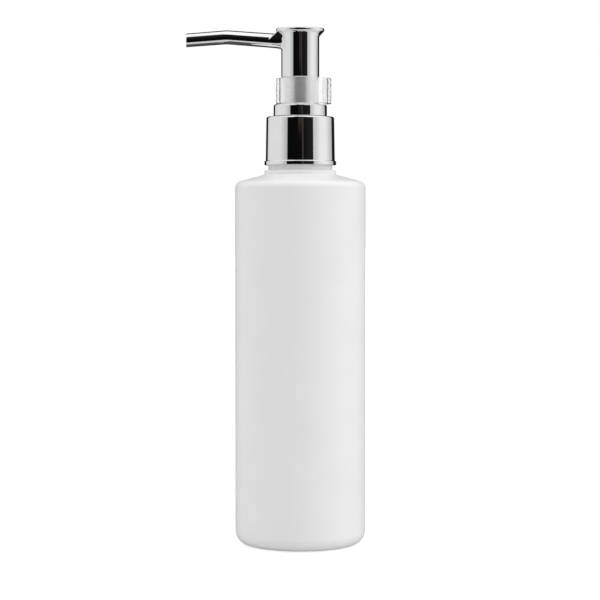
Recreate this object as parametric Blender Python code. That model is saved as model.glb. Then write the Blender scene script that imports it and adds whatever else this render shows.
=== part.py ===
"""Lotion pump bottle: a white bottle with a bright clip-locked pump screwed on its neck.

Metres, +Z up. The origin is on the bottle's axis in the plane that it stands on, and the
spout points along -X. Every piece is one closed solid, at rest: closure screwed home, head up.
"""

import math

import bmesh
import bpy
from mathutils import Matrix, Vector

# Gaps and clearances that every fit is worked out from
SEAT_GAP = 0.0003
RUN_GAP = 0.00025
THREAD_GAP = 0.00035
CUT_OVERRUN = 0.002
MERGE_DISTANCE = 0.0000001

# How finely the round pieces are divided
BODY_SIDES = 56
TURNED_SIDES = 48
SMALL_SIDES = 32
INNER_SIDES = 24
TUBE_SIDES = 16
THREAD_STEPS_PER_TURN = 28
CORNER_STEPS = 3
FINE_CORNER_STEPS = 6
COARSE_CORNER_STEPS = 2
FLAT_ANGLE = math.radians(30.0)

# Bottle
BODY_RADIUS = 0.02605
BODY_SIDE_TOP = 0.1427
BODY_WALL = 0.0012
BASE_THICKNESS = 0.0016
HEEL_RADIUS = 0.0052
SHOULDER_RADIUS = 0.0022
SHOULDER_SLOPE = math.radians(15.0)
BASE_GROOVE_INSET = 0.00535
BASE_GROOVE_WIDTH = 0.0016
BASE_GROOVE_DEPTH = 0.0005
NECK_RADIUS = 0.0109
NECK_WALL = 0.00125
NECK_HEIGHT = 0.0124
NECK_CHAMFER = 0.0003
NECK_BEAD_OUT = 0.0018
NECK_BEAD_HEIGHT = 0.0023
SUPPORT_RING_OUT = 0.0034
SUPPORT_RING_HEIGHT = 0.0017
SUPPORT_RING_ROUND = 0.0005

# Screw thread of the neck and the closure: 24 mm finish, one and a half turns, 8 to the inch
THREAD_PITCH = 0.003175
THREAD_TURNS = 1.5
THREAD_DEPTH = 0.001
THREAD_ROOT_WIDTH = 0.0012
THREAD_CREST_WIDTH = 0.0006
THREAD_SUNK = 0.0003
THREAD_BELOW_LIP = 0.0016
THREAD_FADE = math.radians(30.0)
CLOSURE_THREAD_LOWER_TURNS = 0.5

# Sealing washer
GASKET_THICKNESS = 0.0009
GASKET_SIDE_GAP = 0.00075

# Pump housing
FLANGE_SIDE_GAP = 0.00075
FLANGE_THICKNESS = 0.001
HOUSING_WALL = 0.0007
CYLINDER_WALL = 0.001
HOUSING_TAPER = 0.0024
VENT_RADIUS = 0.0006
VENT_BELOW_SHOULDER = 0.0011
VALVE_MOUTH_THICKNESS = 0.0008
VALVE_SEAT_THICKNESS = 0.0008
TUBE_SOCKET_DEPTH = 0.010
TUBE_SOCKET_WALL = 0.001

# Inlet ball, how far it lifts off its seat, and how much wider or narrower than the ball its
# chamber, the mouth that keeps it in and the hole in its seat are
BALL_RADIUS = 0.0022
BALL_LIFT = 0.0015
BALL_GAP = 0.0002
BALL_CHAMBER_GAP = 0.0004
BALL_HELD = 0.0004
BALL_SEAT_LAND = 0.0008

# Dip tube
TUBE_RADIUS = 0.0032
TUBE_WALL = 0.0008
TUBE_ABOVE_FLOOR = 0.003
TUBE_END_SLOPE = math.radians(30.0)

# Pump stroke, and what is left over at the bottom of it
STROKE = 0.0094
OVERTRAVEL = 0.001
HEAD_REST_GAP = 0.0012

# Chaplet, which guides the stem, and the bright ring pressed on its tower
CHAPLET_FLANGE_SIDE_GAP = 0.00095
CHAPLET_FLANGE_THICKNESS = 0.0011
CHAPLET_FLOOR = 0.001
CHAPLET_CUP_WALL = 0.0009
CHAPLET_TOWER_WALL = 0.0024
GUIDE_WALL = 0.00115
GUIDE_HEIGHT = 0.0099
RING_TAPER = 0.0001
RING_WALL = 0.00045
RING_HEIGHT = 0.0046
RING_ROUND = 0.0004

# Closure and the thin bright shell over it
CLOSURE_WALL = 0.00085
CLOSURE_TAPER = 0.0003
CLOSURE_PLATE = 0.0017
CLOSURE_ABOVE_BEAD = 0.0005
SHELL_WALL = 0.0004
SHELL_ROUND = 0.0007
SHELL_ABOVE_BEAD = 0.0001
SHELL_BEAD_OUT = 0.0005
SHELL_BEAD_HEIGHT = 0.0017

# Piston rod
ROD_RADIUS = 0.0019
ROD_FLANGE_SIDE_GAP = 0.0009
ROD_FLANGE_THICKNESS = 0.0012
ROD_SPIGOT_GAP = 0.0008
ROD_SPIGOT_LENGTH = 0.002
ROD_LENGTH_IN_STEM = 0.010
ROD_FLUTE_WIDTH = 0.0011
ROD_FLUTE_DEPTH = 0.0009

# Stem
STEM_WALL = 0.0014
STEM_SOCKET_DEPTH = 0.008

# Piston, and how far it lags behind its rod
PISTON_WALL = 0.0012
PISTON_BELOW_CHAPLET = 0.0026
PISTON_LENGTH = 0.0079
PISTON_LIP = 0.0014
PISTON_WAIST = 0.0007
PISTON_SHOULDER_HEIGHT = 0.0041
PISTON_LAG = 0.0008

# Return spring
SPRING_WIRE = 0.0008
SPRING_SIDE_GAP = 0.001
SPRING_PRESSED_LENGTH = 0.0099
SPRING_TURNS = 8.5
SPRING_POINTS_PER_TURN = 9
SPRING_LEAST_GAP = 0.0004

# Satin metal sleeve that shows between the ring and the head, pressed on the core's skirt
SLEEVE_WALL = 0.0004
SLEEVE_IN_TOWER = 0.0015

# Actuator core, the moulded insert that joins the stem to the spout
SKIRT_WALL = 0.00065
CORE_RIM_HEIGHT = 0.0006
CORE_WEB_LIFT = 0.0007
CORE_PLUG_HEIGHT = 0.0042
CORE_TUBE_WALL = 0.001
CORE_BORE = 0.0016
CORE_ROOF = 0.0012

# Actuator head: a round tube under an oval pad, which flares most along the spout
HEAD_OVERHANG = 0.0003
HEAD_WALL = 0.0008
HEAD_STRAIGHT = 0.0165
HEAD_FLARE_OUT = 0.00205
HEAD_FLARE_SIDE_OUT = 0.00055
HEAD_FLARE_HEIGHT = 0.0026
HEAD_LIP_ROUND = 0.0006
HEAD_LIP_UNDERCUT = math.radians(20.0)
HEAD_DISH_DEPTH = 0.0016
HEAD_ROOF = 0.0009
HEAD_EDGE = 0.0002

# Spout: it climbs from the head, turns over at the bend and falls to the tip
SPOUT_RADIUS = 0.0027
SPOUT_WALL = 0.0008
SPOUT_BELOW_TOP = 0.00576
SPOUT_BEND_REACH = 0.0293
SPOUT_TIP_LENGTH = 0.0161
SPOUT_BEND_HALF = 0.003
SPOUT_BEND_STEPS = 4
SPOUT_RISE = math.radians(4.2)
SPOUT_FALL = math.radians(4.4)
SPOUT_ROOT_FLARE = 0.0003
SPOUT_ROOT_FLARE_LENGTH = 0.0045
SPOUT_ROOT_STEPS = 4
GUSSET_INSET = 0.0002
GUSSET_LENGTH = 0.00535
LINER_WALL = 0.00055
LINER_RECESS = 0.0002

# Lock clip: a clear C ring, open at the back, that hangs loosely round the sleeve
CLIP_SLACK = 0.00205
CLIP_NEAR_GAP = 0.0007
CLIP_WALL = 0.0017
CLIP_OPENING = math.radians(116.0)
CLIP_STEPS = 30
CLIP_BEVEL = 0.0003
CLIP_BEVEL_ANGLE = math.radians(40.0)

# Radii that one piece takes from the next: inwards from the neck to the core's skirt
NECK_BORE = NECK_RADIUS - NECK_WALL
NECK_BEAD_RADIUS = NECK_RADIUS + NECK_BEAD_OUT
SUPPORT_RING_RADIUS = NECK_RADIUS + SUPPORT_RING_OUT
BASE_GROOVE_RADIUS = BODY_RADIUS - HEEL_RADIUS - BASE_GROOVE_INSET
HOUSING_SLEEVE_RADIUS = NECK_BORE - SEAT_GAP
HOUSING_SLEEVE_BORE = HOUSING_SLEEVE_RADIUS - HOUSING_WALL
CHAPLET_CUP_RADIUS = HOUSING_SLEEVE_BORE - RUN_GAP
CHAPLET_CUP_BORE = CHAPLET_CUP_RADIUS - CHAPLET_CUP_WALL
SLEEVE_RADIUS = CHAPLET_CUP_BORE - RUN_GAP
SLEEVE_BORE = SLEEVE_RADIUS - SLEEVE_WALL
SKIRT_RADIUS = SLEEVE_BORE - SEAT_GAP
SKIRT_BORE = SKIRT_RADIUS - SKIRT_WALL

# Outwards from the neck to the shell, and round the tower
CLOSURE_BORE = NECK_RADIUS + THREAD_DEPTH + THREAD_GAP
GASKET_RADIUS = CLOSURE_BORE - GASKET_SIDE_GAP
FLANGE_RADIUS = CLOSURE_BORE - FLANGE_SIDE_GAP
CHAPLET_FLANGE_RADIUS = CLOSURE_BORE - CHAPLET_FLANGE_SIDE_GAP
CLOSURE_RADIUS = CLOSURE_BORE + CLOSURE_WALL
SHELL_RADIUS_BOTTOM = CLOSURE_RADIUS + SEAT_GAP + SHELL_WALL
SHELL_RADIUS_TOP = SHELL_RADIUS_BOTTOM - CLOSURE_TAPER
SHELL_BEAD_RADIUS = SHELL_RADIUS_BOTTOM + SHELL_BEAD_OUT
CHAPLET_TOWER_RADIUS = CHAPLET_CUP_BORE + CHAPLET_TOWER_WALL
TOWER_HOLE = CHAPLET_TOWER_RADIUS + SEAT_GAP
RING_RADIUS = TOWER_HOLE + RING_WALL

# Outwards from the rod to the cylinder, and what lies under the piston
STEM_BORE = ROD_RADIUS + SEAT_GAP
STEM_RADIUS = STEM_BORE + STEM_WALL
STEM_SOCKET_RADIUS = STEM_RADIUS + SEAT_GAP
CORE_TUBE_RADIUS = STEM_SOCKET_RADIUS + CORE_TUBE_WALL
GUIDE_BORE = STEM_RADIUS + RUN_GAP
PISTON_STEM_BORE = STEM_RADIUS + RUN_GAP
PISTON_WAIST_RADIUS = PISTON_STEM_BORE + PISTON_WALL
PISTON_LIP_RADIUS = PISTON_WAIST_RADIUS + PISTON_WAIST
CYLINDER_BORE = PISTON_LIP_RADIUS + RUN_GAP
CYLINDER_RADIUS = CYLINDER_BORE + CYLINDER_WALL
ROD_FLANGE_RADIUS = CYLINDER_BORE - ROD_FLANGE_SIDE_GAP
SPRING_RADIUS = CYLINDER_BORE - SPRING_SIDE_GAP - SPRING_WIRE / 2
ROD_SPIGOT_RADIUS = SPRING_RADIUS - SPRING_WIRE / 2 - ROD_SPIGOT_GAP
VALVE_CHAMBER_RADIUS = BALL_RADIUS + BALL_CHAMBER_GAP
VALVE_MOUTH_RADIUS = BALL_RADIUS - BALL_HELD
VALVE_SEAT_HOLE = BALL_RADIUS - BALL_SEAT_LAND
TUBE_BORE = TUBE_RADIUS - TUBE_WALL
TUBE_SOCKET_BORE = TUBE_RADIUS + SEAT_GAP
TUBE_SOCKET_RADIUS = TUBE_SOCKET_BORE + TUBE_SOCKET_WALL

# Head, spout and clip
HEAD_RADIUS = SLEEVE_RADIUS + HEAD_OVERHANG
HEAD_BORE = HEAD_RADIUS - HEAD_WALL
HEAD_FLARE_RADIUS = HEAD_RADIUS + HEAD_FLARE_OUT
HEAD_FLARE_HALF_WIDTH = HEAD_RADIUS + HEAD_FLARE_SIDE_OUT
SPOUT_BORE = SPOUT_RADIUS - SPOUT_WALL
SPOUT_REACH = SPOUT_BEND_REACH + SPOUT_TIP_LENGTH
LINER_RADIUS = SPOUT_BORE - SEAT_GAP
LINER_BORE = LINER_RADIUS - LINER_WALL
GUSSET_HALF_WIDTH = SPOUT_RADIUS - GUSSET_INSET
GUSSET_REACH = HEAD_RADIUS + GUSSET_LENGTH
CLIP_BORE = SLEEVE_RADIUS + CLIP_SLACK
CLIP_OFFSET = CLIP_SLACK - CLIP_NEAR_GAP

# Heights, each from the piece that it stands on
Z_SHOULDER_ARC_END = BODY_SIDE_TOP + SHOULDER_RADIUS * math.cos(SHOULDER_SLOPE)
R_SHOULDER_ARC_END = BODY_RADIUS - SHOULDER_RADIUS * (1 - math.sin(SHOULDER_SLOPE))
SHOULDER_CONE_HEIGHT = (R_SHOULDER_ARC_END - SUPPORT_RING_RADIUS) * math.tan(SHOULDER_SLOPE)
Z_SUPPORT_RING = Z_SHOULDER_ARC_END + SHOULDER_CONE_HEIGHT
Z_SUPPORT_RING_TOP = Z_SUPPORT_RING + SUPPORT_RING_HEIGHT
Z_NECK_BEAD_TOP = Z_SUPPORT_RING_TOP + NECK_BEAD_HEIGHT
Z_LIP = Z_NECK_BEAD_TOP + NECK_HEIGHT
Z_GASKET = Z_LIP + SEAT_GAP
Z_FLANGE = Z_GASKET + GASKET_THICKNESS + SEAT_GAP
Z_CHAPLET_FLANGE = Z_FLANGE + FLANGE_THICKNESS + SEAT_GAP
Z_CLOSURE_PLATE = Z_CHAPLET_FLANGE + CHAPLET_FLANGE_THICKNESS + SEAT_GAP
Z_CLOSURE_TOP = Z_CLOSURE_PLATE + CLOSURE_PLATE
Z_SHELL_TOP = Z_CLOSURE_TOP + SEAT_GAP + SHELL_WALL
Z_RING = Z_SHELL_TOP + SEAT_GAP
Z_RING_TOP = Z_RING + RING_HEIGHT
Z_TOWER_TOP = Z_RING_TOP - RING_WALL - SEAT_GAP
Z_SLEEVE = Z_RING_TOP - SLEEVE_IN_TOWER
Z_CUP_FLOOR = Z_SLEEVE - STROKE - OVERTRAVEL
Z_CUP_BOTTOM = Z_CUP_FLOOR - CHAPLET_FLOOR
Z_GUIDE_TOP = Z_CUP_BOTTOM + GUIDE_HEIGHT
Z_HOUSING_SHOULDER = Z_CUP_BOTTOM - SEAT_GAP
Z_HEAD = Z_RING_TOP + STROKE + HEAD_REST_GAP
Z_CORE_SHOULDER = Z_HEAD - SEAT_GAP
Z_CORE_RIM = Z_CORE_SHOULDER - CORE_RIM_HEIGHT
Z_SLEEVE_TOP = Z_CORE_RIM - SEAT_GAP
Z_STEM_SOCKET = Z_GUIDE_TOP + STROKE + SEAT_GAP
Z_STEM_SOCKET_TOP = Z_STEM_SOCKET + STEM_SOCKET_DEPTH
Z_STEM_TOP = Z_STEM_SOCKET_TOP - SEAT_GAP
Z_FLARE = Z_HEAD + HEAD_STRAIGHT
Z_FLARE_TOP = Z_FLARE + HEAD_FLARE_HEIGHT
Z_HEAD_TOP = Z_FLARE_TOP + HEAD_LIP_ROUND
Z_DISH = Z_HEAD_TOP - HEAD_DISH_DEPTH
Z_HEAD_ROOF = Z_DISH - HEAD_ROOF
Z_SPOUT = Z_HEAD_TOP - SPOUT_BELOW_TOP
Z_PISTON_TOP = Z_CUP_BOTTOM - PISTON_BELOW_CHAPLET
Z_PISTON = Z_PISTON_TOP - PISTON_LENGTH
Z_PISTON_SHOULDER = Z_PISTON + PISTON_SHOULDER_HEIGHT
Z_STEM = Z_PISTON_SHOULDER + PISTON_LAG + SEAT_GAP
Z_ROD_FLANGE_TOP = Z_PISTON - SEAT_GAP
Z_ROD_FLANGE = Z_ROD_FLANGE_TOP - ROD_FLANGE_THICKNESS
Z_SPRING_LEDGE = Z_ROD_FLANGE - STROKE - SPRING_PRESSED_LENGTH
Z_VALVE_MOUTH = Z_SPRING_LEDGE - VALVE_MOUTH_THICKNESS

# The ball rests on a 45 degree seat, the seat's edge this far below the ball's centre
SEAT_ANGLE = math.radians(45.0)
BALL_TO_CONE_TIP = (BALL_RADIUS + BALL_GAP) / math.sin(SEAT_ANGLE)
BALL_ABOVE_SEAT = BALL_TO_CONE_TIP - VALVE_SEAT_HOLE / math.tan(SEAT_ANGLE)
Z_BALL = Z_VALVE_MOUTH - SEAT_GAP - BALL_LIFT - BALL_RADIUS
Z_VALVE_SEAT = Z_BALL - BALL_ABOVE_SEAT
Z_TUBE_SOCKET_TOP = Z_VALVE_SEAT - VALVE_SEAT_THICKNESS
Z_TUBE_SOCKET = Z_TUBE_SOCKET_TOP - TUBE_SOCKET_DEPTH


def clear_scene():
    """Remove every object, so that the part is all there is."""
    for old in list(bpy.data.objects):
        bpy.data.objects.remove(old, do_unlink=True)


def material(name, colour, roughness, metallic=0.0, transmission=0.0):
    """A Principled material in the piece's own colour."""
    made = bpy.data.materials.new(name)
    made.use_nodes = True
    shader = made.node_tree.nodes["Principled BSDF"]
    shader.inputs["Base Color"].default_value = (*colour, 1.0)
    shader.inputs["Roughness"].default_value = roughness
    shader.inputs["Metallic"].default_value = metallic
    shader.inputs["Transmission Weight"].default_value = transmission
    made.diffuse_color = (*colour, 1.0)
    return made


def white_plastic(name):
    return material(name, (0.87, 0.87, 0.87), 0.35)


def natural_plastic(name):
    return material(name, (0.78, 0.79, 0.78), 0.4)


def bright_plate(name):
    return material(name, (0.86, 0.86, 0.87), 0.05, metallic=1.0)


def satin_metal(name):
    return material(name, (0.8, 0.8, 0.81), 0.3, metallic=1.0)


def steel(name):
    return material(name, (0.6, 0.6, 0.62), 0.25, metallic=1.0)


def place(name, bm, made, parent=None, origin=(0.0, 0.0, 0.0)):
    """Turn a bmesh drawn in world space into an object whose origin is where the piece turns."""
    bmesh.ops.remove_doubles(bm, verts=bm.verts, dist=MERGE_DISTANCE)
    bmesh.ops.recalc_face_normals(bm, faces=bm.faces)
    bmesh.ops.translate(bm, verts=bm.verts, vec=-Vector(origin))
    mesh = bpy.data.meshes.new(name)
    bm.to_mesh(mesh)
    bm.free()
    mesh.shade_smooth()
    mesh.set_sharp_from_angle(angle=FLAT_ANGLE)
    piece = bpy.data.objects.new(name, mesh)
    bpy.context.collection.objects.link(piece)
    piece.location = origin
    if made is not None:
        mesh.materials.append(made)
    if parent is not None:
        piece.parent = parent
        piece.matrix_parent_inverse = parent.matrix_world.inverted()
    return piece


def guide(name, bm):
    """A shape that only cuts or adds to another."""
    tool = place(name, bm, None)
    tool.hide_render = True
    tool.display_type = "WIRE"
    return tool


def combine(piece, tool, operation):
    """Cut a guide from a piece (DIFFERENCE) or fuse it on (UNION)."""
    modifier = piece.modifiers.new(tool.name, "BOOLEAN")
    modifier.operation = operation
    modifier.object = tool
    modifier.solver = "EXACT"


def joint_frame(name, height, parent=None):
    """An empty on the bottle's axis that carries the pieces of one moving group."""
    frame = bpy.data.objects.new(name, None)
    bpy.context.collection.objects.link(frame)
    frame.location = (0.0, 0.0, height - (parent.matrix_world.translation.z if parent else 0.0))
    frame.parent = parent
    bpy.context.view_layer.update()
    return frame


def arc(centre_r, centre_z, radius, start, end, steps=CORNER_STEPS):
    """Points of a round corner in a turned outline, angles in degrees from the outward direction."""
    points = []
    for index in range(steps + 1):
        angle = math.radians(start + (end - start) * index / steps)
        points.append((centre_r + radius * math.cos(angle), centre_z + radius * math.sin(angle)))
    return points


def turned(outline, sides=TURNED_SIDES, angle=math.tau):
    """Spin an outline of (radius, height) points round the Z axis.

    An outline that starts and ends on the axis stays open there, and any other is closed.
    """
    bm = bmesh.new()
    verts = [bm.verts.new((radius, 0.0, height)) for radius, height in outline]
    edges = [bm.edges.new(pair) for pair in zip(verts, verts[1:])]
    if outline[0][0] > 0.0:
        edges.append(bm.edges.new((verts[-1], verts[0])))
    whole = angle == math.tau
    end = [] if whole else [bm.faces.new(verts)]
    bmesh.ops.spin(bm, geom=end + edges + verts, cent=(0.0, 0.0, 0.0), axis=(0.0, 0.0, 1.0),
                   angle=angle, steps=sides, use_merge=whole)
    return bm


def ring_of(bm, centre, tangent, radius, sides):
    """A loop of vertices round a point of a path that lies in the XZ plane."""
    normal = Vector((-tangent.z, 0.0, tangent.x))
    loop = []
    for index in range(sides):
        turn = math.tau * index / sides
        spoke = Vector((0.0, 1.0, 0.0)) * math.cos(turn) + normal * math.sin(turn)
        loop.append(bm.verts.new(centre + spoke * radius))
    return loop


def skin(bm, loops, closed):
    """Join loops of as many points each into a surface, capped at both ends unless it closes."""
    pairs = list(zip(loops, loops[1:]))
    if closed:
        pairs.append((loops[-1], loops[0]))
    for lower, upper in pairs:
        count = len(lower)
        for index in range(count):
            after = (index + 1) % count
            bm.faces.new((lower[index], lower[after], upper[after], upper[index]))
    if not closed:
        bm.faces.new(list(reversed(loops[0])))
        bm.faces.new(loops[-1])


def box(low, high):
    """A box between two corners."""
    bm = bmesh.new()
    bmesh.ops.create_cube(bm, size=1.0)
    low, high = Vector(low), Vector(high)
    size = high - low
    bmesh.ops.transform(bm, verts=bm.verts,
                        matrix=Matrix.Translation((low + high) / 2) @ Matrix.Diagonal((*size, 1.0)))
    return bm


def thread_ridge(wall_radius, outward, bottom):
    """One and a half turns of thread on a wall, outside it (outward 1) or inside it (outward -1)."""
    bm = bmesh.new()
    steps = int(round(THREAD_STEPS_PER_TURN * THREAD_TURNS))
    root = wall_radius - outward * THREAD_SUNK
    loops = []
    for index in range(steps + 1):
        angle = math.tau * THREAD_TURNS * index / steps
        height = bottom + THREAD_PITCH * angle / math.tau
        from_end = min(angle, math.tau * THREAD_TURNS - angle)
        share = min(from_end / THREAD_FADE, 1.0)
        crest = wall_radius + outward * (THREAD_DEPTH * share - THREAD_SUNK * (1 - share) / 2)
        section = ((root, -THREAD_ROOT_WIDTH / 2), (crest, -THREAD_CREST_WIDTH / 2),
                   (crest, THREAD_CREST_WIDTH / 2), (root, THREAD_ROOT_WIDTH / 2))
        loops.append([bm.verts.new((radius * math.cos(angle), radius * math.sin(angle), height + rise))
                      for radius, rise in section])
    skin(bm, loops, closed=False)
    return bm


def spout_rise(reach):
    """Height of the spout's centreline above its height at the axis."""
    up, down = math.tan(SPOUT_RISE), math.tan(SPOUT_FALL)
    past = reach - (SPOUT_BEND_REACH - SPOUT_BEND_HALF)
    if past <= 0.0:
        return reach * up
    if past >= 2 * SPOUT_BEND_HALF:
        return SPOUT_BEND_REACH * up - (reach - SPOUT_BEND_REACH) * down
    return reach * up - (up + down) * past * past / (4 * SPOUT_BEND_HALF)


def spout_stations(start, end):
    """How far from the axis the spout's loops stand, closer together at its root and its bend."""
    root_end = HEAD_RADIUS + SPOUT_ROOT_FLARE_LENGTH
    near = SPOUT_BEND_REACH - SPOUT_BEND_HALF
    stations = [start]
    for index in range(1, SPOUT_ROOT_STEPS + 1):
        stations.append(HEAD_RADIUS + (root_end - HEAD_RADIUS) * index / SPOUT_ROOT_STEPS)
    for index in range(SPOUT_BEND_STEPS + 1):
        stations.append(near + 2 * SPOUT_BEND_HALF * index / SPOUT_BEND_STEPS)
    return stations + [end]


def spout_loops(bm, start, end, radius, root_flare=0.0):
    """Loops along the spout; the tip is cut upright, and the root may widen into the head."""
    loops = []
    for reach in spout_stations(start, end):
        before, after = spout_rise(reach - MERGE_DISTANCE), spout_rise(reach + MERGE_DISTANCE)
        slope = (after - before) / (2 * MERGE_DISTANCE)
        tangent = Vector((-1.0, 0.0, slope)).normalized()
        if reach == end:
            tangent = Vector((-1.0, 0.0, 0.0))
        left = max(0.0, 1 - (reach - HEAD_RADIUS) / SPOUT_ROOT_FLARE_LENGTH)
        centre = Vector((-reach, 0.0, Z_SPOUT + spout_rise(reach)))
        loops.append(ring_of(bm, centre, tangent, radius + root_flare * min(left, 1.0) ** 2, TUBE_SIDES))
    return loops


def spout_rod(start, end, radius, root_flare=0.0):
    """A solid rod along the spout's centreline."""
    bm = bmesh.new()
    skin(bm, spout_loops(bm, start, end, radius, root_flare), closed=False)
    return bm


def bottle_inner_cone(radius):
    """Height of the shoulder's inner face at a radius."""
    inner_round = SHOULDER_RADIUS - BODY_WALL
    start_r = BODY_RADIUS - SHOULDER_RADIUS + inner_round * math.sin(SHOULDER_SLOPE)
    start_z = BODY_SIDE_TOP + inner_round * math.cos(SHOULDER_SLOPE)
    return start_z + (start_r - radius) * math.tan(SHOULDER_SLOPE)


def make_bottle():
    slope = math.degrees(SHOULDER_SLOPE)
    groove_low = BASE_GROOVE_RADIUS - BASE_GROOVE_WIDTH / 2
    groove_high = BASE_GROOVE_RADIUS + BASE_GROOVE_WIDTH / 2
    heel_centre = BODY_RADIUS - HEEL_RADIUS
    inner_heel = HEEL_RADIUS - BODY_WALL
    shoulder_centre = BODY_RADIUS - SHOULDER_RADIUS
    ring_round_centre = SUPPORT_RING_RADIUS - SUPPORT_RING_ROUND
    outline = [(0.0, 0.0), (groove_low, 0.0), (BASE_GROOVE_RADIUS, BASE_GROOVE_DEPTH), (groove_high, 0.0)]
    outline += arc(heel_centre, HEEL_RADIUS, HEEL_RADIUS, -90, 0, FINE_CORNER_STEPS)
    outline += arc(shoulder_centre, BODY_SIDE_TOP, SHOULDER_RADIUS, 0, 90 - slope)
    outline += [(SUPPORT_RING_RADIUS, Z_SUPPORT_RING)]
    outline += arc(ring_round_centre, Z_SUPPORT_RING_TOP - SUPPORT_RING_ROUND, SUPPORT_RING_ROUND, 0, 90,
                   COARSE_CORNER_STEPS)
    outline += [(NECK_BEAD_RADIUS, Z_SUPPORT_RING_TOP),
                (NECK_BEAD_RADIUS, Z_NECK_BEAD_TOP - NECK_CHAMFER),
                (NECK_BEAD_RADIUS - NECK_CHAMFER, Z_NECK_BEAD_TOP),
                (NECK_RADIUS, Z_NECK_BEAD_TOP),
                (NECK_RADIUS, Z_LIP - NECK_CHAMFER),
                (NECK_RADIUS - NECK_CHAMFER, Z_LIP),
                (NECK_BORE, Z_LIP),
                (NECK_BORE, bottle_inner_cone(NECK_BORE))]
    outline += arc(shoulder_centre, BODY_SIDE_TOP, SHOULDER_RADIUS - BODY_WALL, 90 - slope, 0,
                   COARSE_CORNER_STEPS)
    outline += arc(heel_centre, BASE_THICKNESS + inner_heel, inner_heel, 0, -90)
    outline += [(0.0, BASE_THICKNESS)]
    bottle = place("bottle", turned(outline, BODY_SIDES), white_plastic("bottle_plastic"))
    thread_bottom = Z_LIP - THREAD_BELOW_LIP - THREAD_PITCH * THREAD_TURNS
    ridge = guide("neck_thread_guide", thread_ridge(NECK_RADIUS, 1, thread_bottom))
    combine(bottle, ridge, "UNION")
    return bottle


def make_gasket(group):
    outline = [(NECK_BORE, Z_GASKET), (GASKET_RADIUS, Z_GASKET),
               (GASKET_RADIUS, Z_GASKET + GASKET_THICKNESS), (NECK_BORE, Z_GASKET + GASKET_THICKNESS)]
    return place("gasket", turned(outline, SMALL_SIDES), natural_plastic("gasket_foam"), group)


def make_closure(group):
    bottom = Z_NECK_BEAD_TOP + CLOSURE_ABOVE_BEAD
    outer_top = CLOSURE_RADIUS - CLOSURE_TAPER
    corner = SHELL_ROUND
    outline = [(CLOSURE_BORE, bottom), (CLOSURE_RADIUS, bottom),
               (outer_top, Z_CLOSURE_TOP - corner), (outer_top - corner, Z_CLOSURE_TOP),
               (TOWER_HOLE, Z_CLOSURE_TOP), (TOWER_HOLE, Z_CLOSURE_PLATE),
               (CLOSURE_BORE, Z_CLOSURE_PLATE)]
    closure = place("closure", turned(outline), white_plastic("closure_plastic"), group)
    thread_bottom = Z_LIP - THREAD_BELOW_LIP - THREAD_PITCH * (THREAD_TURNS + CLOSURE_THREAD_LOWER_TURNS)
    ridge = guide("closure_thread_guide", thread_ridge(CLOSURE_BORE, -1, thread_bottom))
    combine(closure, ridge, "UNION")
    return closure


def make_closure_shell(group):
    bottom = Z_NECK_BEAD_TOP + SHELL_ABOVE_BEAD
    bead_half = SHELL_BEAD_HEIGHT / 2
    inner_bottom = SHELL_RADIUS_BOTTOM - SHELL_WALL
    inner_top = SHELL_RADIUS_TOP - SHELL_WALL
    inner_round = SHELL_ROUND - SHELL_WALL
    outline = [(inner_bottom, bottom)]
    outline += arc(SHELL_BEAD_RADIUS - bead_half, bottom + bead_half, bead_half, -90, 90,
                   FINE_CORNER_STEPS)[:-1]
    outline += [(SHELL_RADIUS_BOTTOM, bottom + SHELL_BEAD_HEIGHT)]
    outline += arc(SHELL_RADIUS_TOP - SHELL_ROUND, Z_SHELL_TOP - SHELL_ROUND, SHELL_ROUND, 0, 90)
    outline += [(TOWER_HOLE, Z_SHELL_TOP), (TOWER_HOLE, Z_SHELL_TOP - SHELL_WALL)]
    outline += arc(inner_top - inner_round, Z_SHELL_TOP - SHELL_ROUND, inner_round, 90, 0,
                   COARSE_CORNER_STEPS)
    return place("closure_shell", turned(outline), bright_plate("closure_shell_plate"), group)


def make_chaplet(group):
    flange_top = Z_CHAPLET_FLANGE + CHAPLET_FLANGE_THICKNESS
    outline = [(GUIDE_BORE, Z_CUP_BOTTOM), (CHAPLET_CUP_RADIUS, Z_CUP_BOTTOM),
               (CHAPLET_CUP_RADIUS, Z_CHAPLET_FLANGE), (CHAPLET_FLANGE_RADIUS, Z_CHAPLET_FLANGE),
               (CHAPLET_FLANGE_RADIUS, flange_top), (CHAPLET_TOWER_RADIUS, flange_top),
               (CHAPLET_TOWER_RADIUS, Z_TOWER_TOP), (CHAPLET_CUP_BORE, Z_TOWER_TOP),
               (CHAPLET_CUP_BORE, Z_CUP_FLOOR), (GUIDE_BORE + GUIDE_WALL, Z_CUP_FLOOR),
               (GUIDE_BORE + GUIDE_WALL, Z_GUIDE_TOP), (GUIDE_BORE, Z_GUIDE_TOP)]
    return place("chaplet", turned(outline, SMALL_SIDES), white_plastic("chaplet_plastic"), group)


def make_chaplet_ring(group):
    radius_top = RING_RADIUS - RING_TAPER
    outline = [(TOWER_HOLE, Z_RING), (RING_RADIUS, Z_RING)]
    outline += arc(radius_top - RING_ROUND, Z_RING_TOP - RING_ROUND, RING_ROUND, 0, 90)
    outline += [(CHAPLET_CUP_BORE, Z_RING_TOP), (CHAPLET_CUP_BORE, Z_RING_TOP - RING_WALL),
                (TOWER_HOLE, Z_RING_TOP - RING_WALL)]
    return place("chaplet_ring", turned(outline), bright_plate("chaplet_ring_plate"), group)


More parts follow.
